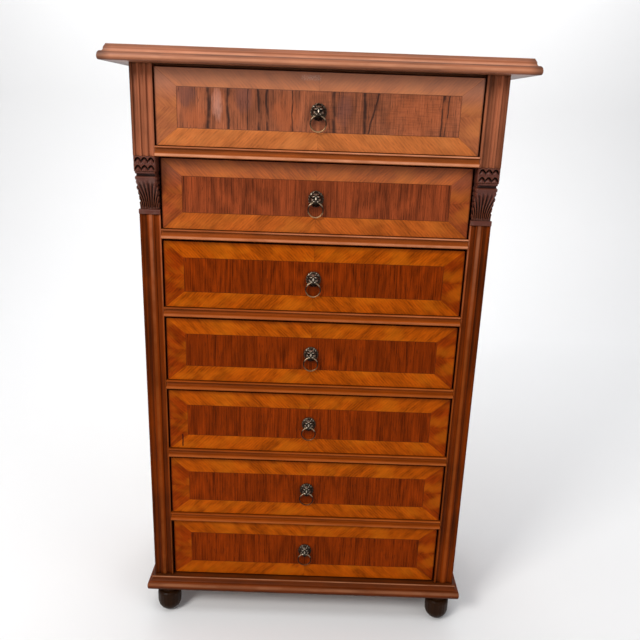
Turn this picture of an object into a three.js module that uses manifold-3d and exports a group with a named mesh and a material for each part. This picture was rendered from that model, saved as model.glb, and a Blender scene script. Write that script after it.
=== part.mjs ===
// Semainier: a walnut-veneered tall chest of seven drawers with a moulded top,
// fluted pilasters, carved corbels under a projecting frieze drawer, moulded rails
// and lion-mask ring pulls. Millimetres, +Z up, the front faces -Y, and the origin
// lies on the floor under the middle of the whole piece.

import * as THREE from 'three';
import { mergeVertices } from 'three/addons/utils/BufferGeometryUtils.js';
import Module from 'manifold-3d';

const wasm = await Module();
wasm.setup();

// Driving dimensions
const carcassWidth = 700;
const carcassDepth = 348;
const footHeight = 65.5;
const baseHeight = 33;
const drawerCount = 7;
const drawerPitch = 162.7;
const railHeight = 20;
const lastOpeningHeight = 149.5;
const topRailHeight = 4;
const topThickness = 28.3;
const topOverhang = 44.5;
const friezeProjection = 28;
const pilasterWidth = 42;
const pilasterDepth = 20;
const sideThickness = 18;
const sideInset = 2;
const backThickness = 8;

// Clearances between pieces
const fitGap = 0.3;
const cutOverrun = 5;

// Overall frame, derived: the front plane of the shafts and the floor of the carcass
const overallDepth = carcassDepth + friezeProjection + topOverhang;
const backY = overallDepth / 2;
const shaftY = backY - carcassDepth;
const friezeY = shaftY - friezeProjection;
const pilasterBackY = shaftY + pilasterDepth;
const halfWidth = carcassWidth / 2;
const halfOpening = halfWidth - pilasterWidth;
const sideOuterX = halfWidth - sideInset;
const sideInnerX = sideOuterX - sideThickness;
const openingHeight = drawerPitch - railHeight;
const carcassFloorZ = footHeight + baseHeight;

// Openings are counted from the top drawer down
function heightOfOpening(n) {
  return n === drawerCount ? lastOpeningHeight : openingHeight;
}

function floorOfOpening(n) {
  let z = carcassFloorZ;
  for (let k = drawerCount; k > n; k -= 1) z += heightOfOpening(k) + railHeight;
  return z;
}

const topRailZ = floorOfOpening(1) + openingHeight;
const topUndersideZ = topRailZ + topRailHeight;
const backPanelY = backY - backThickness;

// Finishes
const walnutVeneer = finish('#a4602c', 0.38);
const walnutSolid = finish('#8a4a26', 0.42);
const walnutCarved = finish('#43291f', 0.5);
const paleWood = finish('#b98a55', 0.75);
const blackened = finish('#2a1c14', 0.4);
const agedBrass = finish('#6b5a3c', 0.45, 0.9);

function finish(color, roughness, metalness = 0) {
  return { color, roughness, metalness };
}

const semainier = new THREE.Group();

function addPiece(name, solid, look) {
  const material = new THREE.MeshStandardMaterial(look);
  const mesh = new THREE.Mesh(geometryOf(solid), material);
  mesh.name = name;
  semainier.add(mesh);
}

// Solids from closed geometries, and back again
const coordinateCount = 3;
const curveSteps = 6;

function solidOf(geometry) {
  geometry.deleteAttribute('normal');
  geometry.deleteAttribute('uv');
  const welded = mergeVertices(geometry);
  return new wasm.Manifold(new wasm.Mesh({
    numProp: coordinateCount,
    vertProperties: welded.attributes.position.array,
    triVerts: welded.index.array,
  }));
}

function geometryOf(solid) {
  const mesh = solid.getMesh();
  const geometry = new THREE.BufferGeometry();
  geometry.setAttribute('position', new THREE.BufferAttribute(mesh.vertProperties, coordinateCount));
  geometry.setIndex(new THREE.BufferAttribute(mesh.triVerts, 1));
  geometry.computeVertexNormals();
  return geometry;
}

function box(x0, x1, y0, y1, z0, z1) {
  const geometry = new THREE.BoxGeometry(x1 - x0, y1 - y0, z1 - z0);
  geometry.translate((x0 + x1) / 2, (y0 + y1) / 2, (z0 + z1) / 2);
  return solidOf(geometry);
}

// A section drawn in (y, z), run along X
function prismX(section, x0, x1, curveSegments = curveSteps) {
  const geometry = new THREE.ExtrudeGeometry(section, { depth: x1 - x0, bevelEnabled: false, curveSegments });
  const turn = new THREE.Matrix4();
  turn.set(0, 0, 1, x0, 1, 0, 0, 0, 0, 1, 0, 0, 0, 0, 0, 1);
  geometry.applyMatrix4(turn);
  return solidOf(geometry);
}

// A section drawn in (x, z), run along Y
function prismY(section, y0, y1, curveSegments = curveSteps) {
  const geometry = new THREE.ExtrudeGeometry(section, { depth: y1 - y0, bevelEnabled: false, curveSegments });
  geometry.rotateX(Math.PI / 2);
  geometry.translate(0, y1, 0);
  return solidOf(geometry);
}

// A plan drawn in (x, y), run up Z
function prismZ(plan, z0, z1, curveSegments = curveSteps) {
  const geometry = new THREE.ExtrudeGeometry(plan, { depth: z1 - z0, bevelEnabled: false, curveSegments });
  geometry.translate(0, 0, z0);
  return solidOf(geometry);
}

function mirrored(solid) {
  return solid.mirror([1, 0, 0]);
}

function addPair(name, rightSolid, look) {
  addPiece(`${name}_left`, mirrored(rightSolid), look);
  addPiece(`${name}_right`, rightSolid, look);
}

// Top board: one board, its moulded edge returned round both ends
const topNoseRise = 6;
const topNoseRound = 4;
const topShoulderRise = 13;
const topStepInset = 4;
const topStepRise = 15.5;
const topStepDepth = 1.5;
const topHollowInset = 9.8;
const topHollowRise = 22;
const topCornerInset = 13;
const topCornerRound = 1;

function topEdge(section, noseAt, inward, z0) {
  const at = (inset) => noseAt + inward * inset;
  section.lineTo(at(topNoseRound), z0);
  section.quadraticCurveTo(at(0), z0, at(0), z0 + topNoseRise);
  section.quadraticCurveTo(at(0), z0 + topShoulderRise, at(topStepInset), z0 + topStepRise);
  section.lineTo(at(topStepInset + topStepDepth), z0 + topStepRise);
  section.quadraticCurveTo(at(topHollowInset), z0 + topStepRise, at(topHollowInset), z0 + topHollowRise);
  section.lineTo(at(topCornerInset), z0 + topThickness - topCornerRound);
  const roundEnd = at(topCornerInset + topCornerRound);
  section.quadraticCurveTo(at(topCornerInset), z0 + topThickness, roundEnd, z0 + topThickness);
}

function buildTop() {
  const noseY = friezeY - topOverhang;
  const lengthwise = new THREE.Shape();
  lengthwise.moveTo(backY, topUndersideZ + topThickness);
  lengthwise.lineTo(backY, topUndersideZ);
  topEdge(lengthwise, noseY, 1, topUndersideZ);
  lengthwise.closePath();

  const noseX = halfWidth + topOverhang;
  const crosswise = new THREE.Shape();
  crosswise.moveTo(0, topUndersideZ);
  topEdge(crosswise, noseX, -1, topUndersideZ);
  crosswise.lineTo(0, topUndersideZ + topThickness);
  crosswise.closePath();

  const length = prismX(lengthwise, -noseX - cutOverrun, noseX + cutOverrun);
  const rightEnd = prismY(crosswise, noseY - cutOverrun, backY + cutOverrun);
  const bothEnds = rightEnd.add(mirrored(rightEnd));
  addPiece('top_board', length.intersect(bothEnds), walnutSolid);
}

// Base frame: moulded front and sides, mitred at the front corners
const baseOverhang = 16;
const baseFrameWidth = 70;
const baseTorusHeight = 20;
const baseTorusSeat = 4;
const baseCoveInset = 4;
const baseFilletHeight = 4;
const baseFilletInset = 10;

function baseEdge(section, outerAt, inward, z0) {
  const at = (inset) => outerAt + inward * inset;
  const torusMiddle = z0 + baseTorusHeight / 2;
  const coveTop = z0 + baseHeight - baseFilletHeight;
  section.lineTo(at(baseTorusSeat), z0);
  section.quadraticCurveTo(at(0), z0, at(0), torusMiddle);
  section.quadraticCurveTo(at(0), z0 + baseTorusHeight, at(baseCoveInset), z0 + baseTorusHeight);
  section.quadraticCurveTo(at(baseFilletInset), z0 + baseTorusHeight, at(baseFilletInset), coveTop);
  section.lineTo(at(baseFilletInset), z0 + baseHeight);
}

function buildBase() {
  const outerX = halfWidth + baseOverhang;
  const outerY = shaftY - baseOverhang;
  const innerX = outerX - baseFrameWidth;
  const innerY = outerY + baseFrameWidth;
  const z0 = footHeight;

  const frontSection = new THREE.Shape();
  frontSection.moveTo(innerY, z0 + baseHeight);
  frontSection.lineTo(innerY, z0);
  baseEdge(frontSection, outerY, 1, z0);
  frontSection.closePath();

  const sideSection = new THREE.Shape();
  sideSection.moveTo(innerX, z0);
  baseEdge(sideSection, outerX, -1, z0);
  sideSection.lineTo(innerX, z0 + baseHeight);
  sideSection.closePath();

  const frontPlan = new THREE.Shape();
  frontPlan.moveTo(-outerX, outerY);
  frontPlan.lineTo(outerX, outerY);
  frontPlan.lineTo(innerX, innerY);
  frontPlan.lineTo(-innerX, innerY);
  frontPlan.closePath();

  const sidePlan = new THREE.Shape();
  sidePlan.moveTo(outerX, outerY + fitGap);
  sidePlan.lineTo(outerX, backY);
  sidePlan.lineTo(innerX, backY);
  sidePlan.lineTo(innerX, innerY + fitGap);
  sidePlan.closePath();

  const front = prismX(frontSection, -outerX, outerX).intersect(prismZ(frontPlan, z0, z0 + baseHeight));
  addPiece('base_front', front, walnutSolid);
  const side = prismY(sideSection, outerY, backY).intersect(prismZ(sidePlan, z0, z0 + baseHeight));
  addPair('base', side, walnutSolid);
  buildBottomBoard(innerX, innerY);
  buildFeet();
}

// Bottom board: lies flush inside the base frame
const bottomBoardThickness = 12;

function buildBottomBoard(halfSpan, y0) {
  const z1 = carcassFloorZ;
  addPiece('bottom_board', box(-halfSpan, halfSpan, y0, backY, z1 - bottomBoardThickness, z1), paleWood);
}

// Feet: turned, a rounded bottom under a straight flank that rounds in to a neck
const footRadius = 27.3;
const footTreadRadius = 6;
const footFlankTop = 48;
const footNeckRadius = 19;
const footNeckHeight = 10;
const footInsetX = 30;
const footInsetY = 10;
const footBallSteps = 7;
const footShoulderSteps = 3;
const footTurns = 20;

function buildFeet() {
  const outline = [new THREE.Vector2(0, 0)];
  const treadAngle = Math.acos(footTreadRadius / footRadius);
  const ballCentreZ = footRadius * Math.sin(treadAngle);
  for (let i = 0; i <= footBallSteps; i += 1) {
    const angle = treadAngle * (i / footBallSteps - 1);
    outline.push(new THREE.Vector2(footRadius * Math.cos(angle), ballCentreZ + footRadius * Math.sin(angle)));
  }
  const shoulderWidth = footRadius - footNeckRadius;
  const shoulderRise = footHeight - footNeckHeight - footFlankTop;
  for (let i = 0; i <= footShoulderSteps; i += 1) {
    const angle = Math.PI / 2 * i / footShoulderSteps;
    const radius = footNeckRadius + shoulderWidth * Math.cos(angle);
    outline.push(new THREE.Vector2(radius, footFlankTop + shoulderRise * Math.sin(angle)));
  }
  outline.push(new THREE.Vector2(footNeckRadius, footHeight));
  outline.push(new THREE.Vector2(0, footHeight));
  const turned = new THREE.LatheGeometry(outline, footTurns);
  turned.rotateX(Math.PI / 2);
  const foot = solidOf(turned);
  const footX = halfWidth - footInsetX;
  const rows = { front: shaftY + footInsetY, rear: backY - footInsetX };
  for (const [row, y] of Object.entries(rows)) {
    addPiece(`foot_${row}_left`, foot.translate([-footX, y, 0]), blackened);
    addPiece(`foot_${row}_right`, foot.translate([footX, y, 0]), blackened);
  }
}

// Pilasters: fluted shafts below, fluted frieze blocks above, a corbel between them
const pilasterFillet = 3.5;
const fluteDepth = 3.5;
const shaftCoveWidth = 9;
const blockFillet = 4.5;
const blockFluteCount = 3;
const pilasterX = halfWidth - pilasterWidth / 2;

const shaftFluteSteps = 7;
const blockFluteSteps = 5;

function pilasterPlan(frontY, fillet, drawFace) {
  const half = pilasterWidth / 2;
  const plan = new THREE.Shape();
  plan.moveTo(half, pilasterBackY);
  plan.lineTo(-half, pilasterBackY);
  plan.lineTo(-half, frontY);
  plan.lineTo(-half + fillet, frontY);
  drawFace(plan, -half + fillet, half - fillet, frontY);
  plan.lineTo(half, frontY);
  plan.closePath();
  return plan;
}

// Cove, broad bead, cove
function shaftFace(plan, x0, x1, y) {
  const beadStart = x0 + shaftCoveWidth;
  const beadEnd = x1 - shaftCoveWidth;
  const beadMiddle = (beadStart + beadEnd) / 2;
  const deep = y + fluteDepth;
  plan.bezierCurveTo(x0, deep, beadStart - pilasterFillet, deep, beadStart, deep);
  plan.quadraticCurveTo(beadStart, y, beadMiddle, y);
  plan.quadraticCurveTo(beadEnd, y, beadEnd, deep);
  plan.bezierCurveTo(beadEnd + pilasterFillet, deep, x1, deep, x1, y);
}

// Three flutes between fillets
function flutedFace(plan, x0, x1, y) {
  const fluteWidth = (x1 - x0 - blockFillet * (blockFluteCount - 1)) / blockFluteCount;
  const deep = y + fluteDepth;
  let x = x0;
  for (let i = 0; i < blockFluteCount; i += 1) {
    plan.lineTo(x, y);
    plan.quadraticCurveTo(x, deep, x + fluteWidth / 2, deep);
    plan.quadraticCurveTo(x + fluteWidth, deep, x + fluteWidth, y);
    x += fluteWidth + blockFillet;
  }
}

// Corbel: a scalloped block over an acanthus leaf, closed by a plain band
const corbelHeight = 114.5;
const corbelBandHeight = 10;
const corbelBandReach = 4;
const corbelLeafTop = 77;
const corbelLeafFootReach = 2;
const corbelLeafTipReach = 24;
const corbelNeckReach = 18;
const corbelNeckHeight = 3;
const corbelCaveHeight = 5;
const corbelBlockReach = friezeProjection;
const corbelRelief = 3;
const corbelEdgeRound = 2;

// Side outline of the corbel in (y, z): how far it reaches out, less the given depth
function corbelSection(z0, depth) {
  const at = (reach) => shaftY - reach + depth;
  const leafFootZ = z0 + corbelBandHeight;
  const leafTopZ = z0 + corbelLeafTop;
  const neckZ = leafTopZ + corbelNeckHeight;
  const caveZ = neckZ + corbelCaveHeight;
  const topZ = z0 + corbelHeight;
  const section = new THREE.Shape();
  section.moveTo(pilasterBackY, topZ);
  section.lineTo(pilasterBackY, leafFootZ);
  section.lineTo(at(corbelLeafFootReach), leafFootZ);
  section.bezierCurveTo(
    at(corbelLeafFootReach), (leafFootZ + leafTopZ) / 2,
    at(corbelNeckReach), (leafFootZ + leafTopZ) / 2,
    at(corbelLeafTipReach), leafTopZ - corbelNeckHeight,
  );
  section.quadraticCurveTo(at(corbelLeafTipReach), leafTopZ, at(corbelNeckReach), leafTopZ);
  section.lineTo(at(corbelNeckReach), neckZ);
  section.quadraticCurveTo(at(corbelNeckReach), caveZ, at(corbelBlockReach), caveZ);
  section.lineTo(at(corbelBlockReach), topZ);
  section.closePath();
  return section;
}

// Leaf outline in (x, z): lobes step outwards from the stalk to the curling tip
const leafLobeCount = 4;
const leafStalkHalf = 13;
const leafLobeDip = 2.5;
const leafVeinWidth = 2.2;
const leafVeinDepth = 1.8;
const leafVeinSpread = 6.4;
const leafVeinPairs = 2;
const corbelSteps = 7;
const leafEdgeSteps = 3;
const veinSteps = 4;
const leafVeinFootShare = 0.42;

function leafOutline(z0) {
  const z1 = z0 + corbelLeafTop - corbelBandHeight;
  const half = pilasterWidth / 2;
  const lobeRise = (z1 - z0) / leafLobeCount;
  const lobeGrowth = (half - leafStalkHalf) / leafLobeCount;
  const outline = new THREE.Shape();
  outline.moveTo(-leafStalkHalf, z0);
  outline.lineTo(leafStalkHalf, z0);
  for (let i = 1; i <= leafLobeCount; i += 1) {
    const x = leafStalkHalf + lobeGrowth * i;
    const z = z0 + lobeRise * i;
    outline.quadraticCurveTo(x + leafLobeDip / 2, z - lobeRise / 2, x, z - leafLobeDip);
    outline.lineTo(x - leafLobeDip, z);
  }
  for (let i = leafLobeCount; i >= 1; i -= 1) {
    const x = leafStalkHalf + lobeGrowth * i;
    const z = z0 + lobeRise * i;
    outline.lineTo(-x + leafLobeDip, z);
    outline.lineTo(-x, z - leafLobeDip);
    outline.quadraticCurveTo(-x - leafLobeDip / 2, z - lobeRise / 2, -x + lobeGrowth, z - lobeRise);
  }
  outline.closePath();
  return outline;
}

// One vein: a long lens that leans outwards
function veinOutline(z0, lean) {
  const z1 = z0 + corbelLeafTop - corbelBandHeight - corbelNeckHeight;
  const footX = lean * leafVeinFootShare;
  const vein = new THREE.Shape();
  vein.moveTo(footX, z0);
  vein.quadraticCurveTo(footX + leafVeinWidth, (z0 + z1) / 2, footX + lean, z1);
  vein.quadraticCurveTo(footX - leafVeinWidth, (z0 + z1) / 2, footX, z0);
  vein.closePath();
  return vein;
}

// Two rows of scallops on the block
const scallopCount = 4;
const scallopRows = 2;
const scallopDepth = 2;
const scallopSteps = 5;
const scallopWall = 2;

function carveBlock(solid, blockZ, topZ) {
  const pitch = (pilasterWidth - scallopWall) / scallopCount;
  const rowPitch = (topZ - blockZ - scallopWall) / scallopRows;
  const half = (pitch - scallopWall) / 2;
  const faceY = shaftY - corbelBlockReach;
  let carved = solid;
  for (let row = 0; row < scallopRows; row += 1) {
    const rowTopZ = topZ - scallopWall - row * rowPitch;
    const archZ = rowTopZ - rowPitch + scallopWall + half;
    for (let i = 0; i < scallopCount; i += 1) {
      const x = (i - (scallopCount - 1) / 2) * pitch;
      const arch = new THREE.Shape();
      arch.moveTo(x + half, rowTopZ);
      arch.lineTo(x - half, rowTopZ);
      arch.lineTo(x - half, archZ);
      arch.absarc(x, archZ, half, Math.PI, 2 * Math.PI);
      arch.closePath();
      carved = carved.subtract(prismY(arch, faceY - cutOverrun, faceY + scallopDepth, scallopSteps));
    }
  }
  return carved;
}

function buildCorbel(z0) {
  const half = pilasterWidth / 2;
  const leafFootZ = z0 + corbelBandHeight;
  const leafTopZ = z0 + corbelLeafTop;
  const topZ = z0 + corbelHeight;
  const farY = shaftY - corbelBlockReach - cutOverrun;
  const outer = prismX(corbelSection(z0, 0), -half, half, corbelSteps);
  const ground = prismX(corbelSection(z0, corbelRelief), -half, half, corbelSteps);
  const leafRegion = prismY(leafOutline(leafFootZ), farY, pilasterBackY, leafEdgeSteps);
  const blockRegion = box(-half, half, farY, pilasterBackY, leafTopZ, topZ);
  let body = ground.add(outer.intersect(leafRegion)).add(outer.intersect(blockRegion));

  const veinHalf = half + cutOverrun;
  const veinFloor = prismX(corbelSection(z0, leafVeinDepth), -veinHalf, veinHalf, corbelSteps);
  for (const side of [-1, 1]) {
    for (let i = 1; i <= leafVeinPairs; i += 1) {
      const lean = side * leafVeinSpread * i;
      const groove = prismY(veinOutline(leafFootZ, lean), farY, shaftY, veinSteps).subtract(veinFloor);
      body = body.subtract(groove);
    }
  }
  body = carveBlock(body, leafTopZ + corbelNeckHeight + corbelCaveHeight, topZ);

  const bandY = shaftY - corbelBandReach;
  const band = new THREE.Shape();
  band.moveTo(pilasterBackY, z0);
  band.lineTo(bandY + corbelEdgeRound, z0);
  band.quadraticCurveTo(bandY, z0, bandY, z0 + corbelEdgeRound);
  band.lineTo(bandY, leafFootZ - corbelEdgeRound);
  band.quadraticCurveTo(bandY, leafFootZ, bandY + corbelEdgeRound, leafFootZ);
  band.lineTo(pilasterBackY, leafFootZ);
  band.closePath();
  return body.add(prismX(band, -half, half, 2));
}

function buildPilasters() {
  const corbelTopZ = floorOfOpening(1) - railHeight;
  const corbelZ = corbelTopZ - corbelHeight;
  const shaftPlan = pilasterPlan(shaftY, pilasterFillet, shaftFace);
  const shaft = prismZ(shaftPlan, carcassFloorZ, corbelZ, shaftFluteSteps);
  addPair('shaft', shaft.translate([pilasterX, 0, 0]), walnutSolid);
  addPair('corbel', buildCorbel(corbelZ).translate([pilasterX, 0, 0]), walnutCarved);
  const blockPlan = pilasterPlan(friezeY, blockFillet, flutedFace);
  const block = prismZ(blockPlan, corbelTopZ, topUndersideZ, blockFluteSteps);
  addPair('frieze_block', block.translate([pilasterX, 0, 0]), walnutSolid);
}

// Rails: a thin bead over an undercut hollow over a thick bead, tenoned behind the pilasters
const railDepth = 60;
const railEndGap = 0.8;
const railThinBead = 3.5;
const railThinReach = 5;
const railThickBead = 9;
const railThickReach = 6.5;
const railHollowReach = 0;
const topRailRecess = 18;
const railBeadSeat = 2.5;

const railSteps = 4;

function railSection(faceY, z0) {
  const at = (reach) => faceY - reach;
  const z1 = z0 + railHeight;
  const thinZ = z1 - railThinBead;
  const thickZ = z0 + railThickBead;
  const section = new THREE.Shape();
  section.moveTo(shaftY + railDepth, z1);
  section.lineTo(shaftY + railDepth, z0);
  section.lineTo(at(railBeadSeat), z0);
  section.quadraticCurveTo(at(railThickReach), z0, at(railThickReach), z0 + railThickBead / 2);
  section.quadraticCurveTo(at(railThickReach), thickZ, at(railBeadSeat), thickZ);
  section.quadraticCurveTo(at(railHollowReach), thickZ, at(railHollowReach), thinZ);
  section.lineTo(at(railBeadSeat), thinZ);
  section.quadraticCurveTo(at(railThinReach), thinZ, at(railThinReach), thinZ + railThinBead / 2);
  section.quadraticCurveTo(at(railThinReach), z1, at(railBeadSeat), z1);
  section.closePath();
  return section;
}

function buildRails() {
  const half = halfOpening - railEndGap;
  for (let n = 1; n < drawerCount; n += 1) {
    const faceY = n === 1 ? friezeY : shaftY;
    const z0 = floorOfOpening(n) - railHeight;
    const moulding = prismX(railSection(faceY, z0), -half, half, railSteps);
    const tenon = box(-sideInnerX, sideInnerX, pilasterBackY, shaftY + railDepth, z0, z0 + railHeight);
    addPiece(`rail_${n}`, moulding.add(tenon), walnutSolid);
  }
  const strip = box(-half, half, friezeY + topRailRecess, shaftY + railDepth, topRailZ, topUndersideZ);
  const stripTenon = box(-sideInnerX, sideInnerX, pilasterBackY, shaftY + railDepth, topRailZ, topUndersideZ);
  addPiece('top_rail', strip.add(stripTenon), walnutSolid);
}

// Sides: plain boards with the runners and guides of the drawers fixed to them
const runnerHeight = 14;
const runnerReach = 38;
const guideHeight = 22;
const guideReach = 22.5;

function buildSides() {
  const y0 = shaftY + railDepth;
  let side = box(sideInnerX, sideOuterX, pilasterBackY, backY, carcassFloorZ, topUndersideZ);
  for (let n = 1; n <= drawerCount; n += 1) {
    const z = floorOfOpening(n);
    const guide = box(sideInnerX - guideReach, sideOuterX, y0, backPanelY, z, z + guideHeight);
    side = side.add(guide);
    if (n < drawerCount) {
      const runner = box(sideInnerX - runnerReach, sideOuterX, y0, backPanelY, z - runnerHeight, z);
      side = side.add(runner);
    }
  }
  addPair('side', side, walnutVeneer);
}

// Back: upright boards, a V groove at each joint
const backBoardCount = 5;
const backGroove = 3;

function buildBack() {
  let back = box(-sideInnerX, sideInnerX, backPanelY, backY, carcassFloorZ, topUndersideZ);
  const boardWidth = 2 * sideInnerX / backBoardCount;
  for (let i = 1; i < backBoardCount; i += 1) {
    const x = -sideInnerX + i * boardWidth;
    const vee = new THREE.Shape();
    vee.moveTo(x - backGroove, backY + backGroove / 2);
    vee.lineTo(x, backY - backGroove / 2);
    vee.lineTo(x + backGroove, backY + backGroove / 2);
    vee.closePath();
    back = back.subtract(prismZ(vee, carcassFloorZ - cutOverrun, topUndersideZ + cutOverrun));
  }
  addPiece('back_panel', back, paleWood);
}

// Drawers: a veneered front, a dovetailed box of sides and back, a grooved-in bottom
const frontThickness = 20;
const sidePlay = 4;
const frontFloorGap = 1.2;
const frontTopGap = 4.7;
const firstFrontTopGap = 1.9;
const lastFrontFloorGap = 3;
const lastDrawerRecess = 7;
const boxInset = 1;
const boxSideThickness = 10;
const boxTopDrop = 9;
const boxBackGap = 17;
const boxBackDrop = 6;
const drawerBottomThickness = 5;
const drawerBottomRise = 7;
const grooveDepth = 5;

function faceOfDrawer(n) {
  if (n === 1) return friezeY;
  return n === drawerCount ? shaftY + lastDrawerRecess : shaftY;
}

function buildDrawer(n) {
  const isLast = n === drawerCount;
  const faceY = faceOfDrawer(n);
  const frontBackY = faceY + frontThickness;
  const floorZ = floorOfOpening(n);
  const frontZ0 = floorZ + (isLast ? lastFrontFloorGap : frontFloorGap);
  const frontZ1 = floorZ + heightOfOpening(n) - (n === 1 ? firstFrontTopGap : frontTopGap);
  const halfFront = halfOpening - sidePlay;
  const halfBox = halfFront - boxInset;
  const halfInside = halfBox - boxSideThickness;
  const boxZ0 = floorZ + fitGap;
  const boxZ1 = frontZ1 - boxTopDrop;
  const boxBackY = backPanelY - boxBackGap;
  const panelZ0 = boxZ0 + drawerBottomRise;
  const panelZ1 = panelZ0 + drawerBottomThickness;
  const grooveHalf = halfInside + grooveDepth;
  const grooveY = frontBackY - grooveDepth;
  const groove = box(
    -grooveHalf, grooveHalf, grooveY, boxBackY + cutOverrun, panelZ0 - fitGap, panelZ1 + fitGap,
  );

  const studHole = studAlongY(faceY - cutOverrun, faceY + studLength + fitGap, studRadius + fitGap);
  const centreZ = (frontZ0 + frontZ1) / 2;
  const front = box(-halfFront, halfFront, faceY, frontBackY, frontZ0, frontZ1)
    .subtract(groove)
    .subtract(studHole.translate([0, 0, centreZ]));
  addPiece(`drawer_${n}_front`, front, walnutVeneer);

  const hollow = box(
    -halfInside, halfInside, frontBackY - cutOverrun, boxBackY - boxSideThickness,
    boxZ0 - cutOverrun, boxZ1 + cutOverrun,
  );
  const underBack = box(
    -halfInside, halfInside, frontBackY, boxBackY + cutOverrun, boxZ0 - cutOverrun, panelZ1 + fitGap,
  );
  const overBack = box(
    -halfInside, halfInside, frontBackY, boxBackY + cutOverrun, boxZ1 - boxBackDrop, boxZ1 + cutOverrun,
  );
  const frame = box(-halfBox, halfBox, frontBackY, boxBackY, boxZ0, boxZ1)
    .subtract(hollow)
    .subtract(underBack)
    .subtract(overBack)
    .subtract(groove);
  addPiece(`drawer_${n}_box`, frame, paleWood);

  const panel = box(
    -grooveHalf + fitGap, grooveHalf - fitGap, grooveY + fitGap, boxBackY, panelZ0, panelZ1,
  );
  addPiece(`drawer_${n}_bottom`, panel, paleWood);

  addPiece(`drawer_${n}_mask`, lionMask.translate([0, faceY, centreZ]), agedBrass);
  const pivot = [0, faceY - ringStandoff, centreZ - ringPivotDrop];
  addPiece(`drawer_${n}_ring`, pullRing.translate(pivot), agedBrass);
}

// Pull: a cast lion mask on a stud, its ring hung in a channel through the jaws
const maskWidth = 30.7;
const maskHeight = 32.6;
const maskDepth = 13.5;
const maneDepth = 5.5;
const maneRim = 1.6;
const maneTuftCount = 14;
const maneTuftDepth = 1.4;
const faceHalfWidth = 10;
const faceHalfHeight = 11.5;
const faceHalfDepth = 9;
const muzzleHalfWidth = 6.2;
const muzzleHalfHeight = 5.6;
const browHalfWidth = 3.6;
const browHalfHeight = 8;
const browRise = 3.4;
const earRadius = 3.4;
const earSpread = 9.4;
const earRise = 10.6;
const eyeRadius = 1.9;
const eyeSpread = 4.6;
const eyeRise = 2.6;
const studRadius = 2;
const studLength = 14;
const ringOuterDiameter = 32.6;
const ringWire = 2.8;
const ringStandoff = 6.6;
const ringPivotDrop = 6;
const channelPlay = 1.7;
const channelRadius = ringWire / 2 + channelPlay;
const ringTurns = 24;
const ringWireSides = 8;
const studTurns = 12;
const channelTurns = 12;
const ballTurns = 12;
const ballRises = 8;
const maneTurns = 24;
const maneRises = 10;
const faceTurns = 14;
const faceRises = 10;
const browTurns = 10;
const browRises = 8;
const earTurns = 8;
const earRises = 6;

// A cylinder along Y through the origin's height
function studAlongY(y0, y1, radius) {
  const geometry = new THREE.CylinderGeometry(radius, radius, y1 - y0, studTurns);
  geometry.translate(0, (y0 + y1) / 2, 0);
  return solidOf(geometry);
}

// A ball of three half sizes about a place
function ball(half, place, turns = ballTurns, rises = ballRises) {
  const [halfX, halfY, halfZ] = half;
  const geometry = new THREE.SphereGeometry(halfX, turns, rises);
  geometry.rotateX(Math.PI / 2);
  geometry.scale(1, halfY / halfX, halfZ / halfX);
  geometry.translate(...place);
  return solidOf(geometry);
}

// The mane: a domed plate with a tufted rim
function buildMane() {
  const outline = new THREE.Shape();
  const steps = maneTuftCount * 2;
  for (let i = 0; i < steps; i += 1) {
    const angle = 2 * Math.PI * i / steps;
    const dip = i % 2 ? maneTuftDepth : 0;
    const x = (maskWidth / 2 - dip) * Math.cos(angle);
    const z = (maskHeight / 2 - dip) * Math.sin(angle);
    if (i === 0) outline.moveTo(x, z);
    else outline.lineTo(x, z);
  }
  outline.closePath();
  const dome = [maskWidth / 2 + maneRim, maneDepth + maneRim, maskHeight / 2 + maneRim];
  const rimBall = ball(dome, [0, 0, 0], maneTurns, maneRises);
  return prismY(outline, -maneDepth - maneRim, 0).intersect(rimBall);
}

function buildMask() {
  const jawZ = -ringPivotDrop;
  const muzzleY = -maskDepth / 2;
  let mask = buildMane();
  const browY = muzzleY + maneRim;
  mask = mask.add(ball([faceHalfWidth, faceHalfDepth, faceHalfHeight], [0, 0, 0], faceTurns, faceRises));
  mask = mask.add(ball([muzzleHalfWidth, maskDepth / 2, muzzleHalfHeight], [0, muzzleY, jawZ]));
  const browHalf = [browHalfWidth, maskDepth / 2, browHalfHeight];
  mask = mask.add(ball(browHalf, [0, browY, browRise], browTurns, browRises));
  for (const side of [-1, 1]) {
    const earPlace = [side * earSpread, -maneRim, earRise];
    const ear = ball([earRadius, maneDepth, earRadius], earPlace, earTurns, earRises);
    const eyePlace = [side * eyeSpread, -faceHalfDepth, eyeRise];
    mask = mask.add(ear).subtract(ball([eyeRadius, eyeRadius, eyeRadius], eyePlace, earTurns, earRises));
  }
  const behind = box(-maskWidth, maskWidth, 0, maskWidth, -maskHeight, maskHeight);
  mask = mask.subtract(behind);
  const channelLength = maskWidth + cutOverrun;
  const channel = new THREE.CylinderGeometry(channelRadius, channelRadius, channelLength, channelTurns);
  channel.rotateZ(Math.PI / 2);
  channel.translate(0, -ringStandoff, jawZ);
  mask = mask.subtract(solidOf(channel));
  return mask.add(studAlongY(-maneRim, studLength, studRadius));
}

// The ring, hung from the origin
function buildRing() {
  const middleRadius = (ringOuterDiameter - ringWire) / 2;
  const geometry = new THREE.TorusGeometry(middleRadius, ringWire / 2, ringWireSides, ringTurns);
  geometry.rotateX(Math.PI / 2);
  geometry.translate(0, 0, -middleRadius);
  return solidOf(geometry);
}

const lionMask = buildMask();
const pullRing = buildRing();

buildTop();
buildBase();
buildPilasters();
buildRails();
buildSides();
buildBack();
for (let n = 1; n <= drawerCount; n += 1) buildDrawer(n);

export default semainier;
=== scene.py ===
import math

import bmesh
import bpy
import numpy as np
from mathutils import Matrix, Vector


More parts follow.
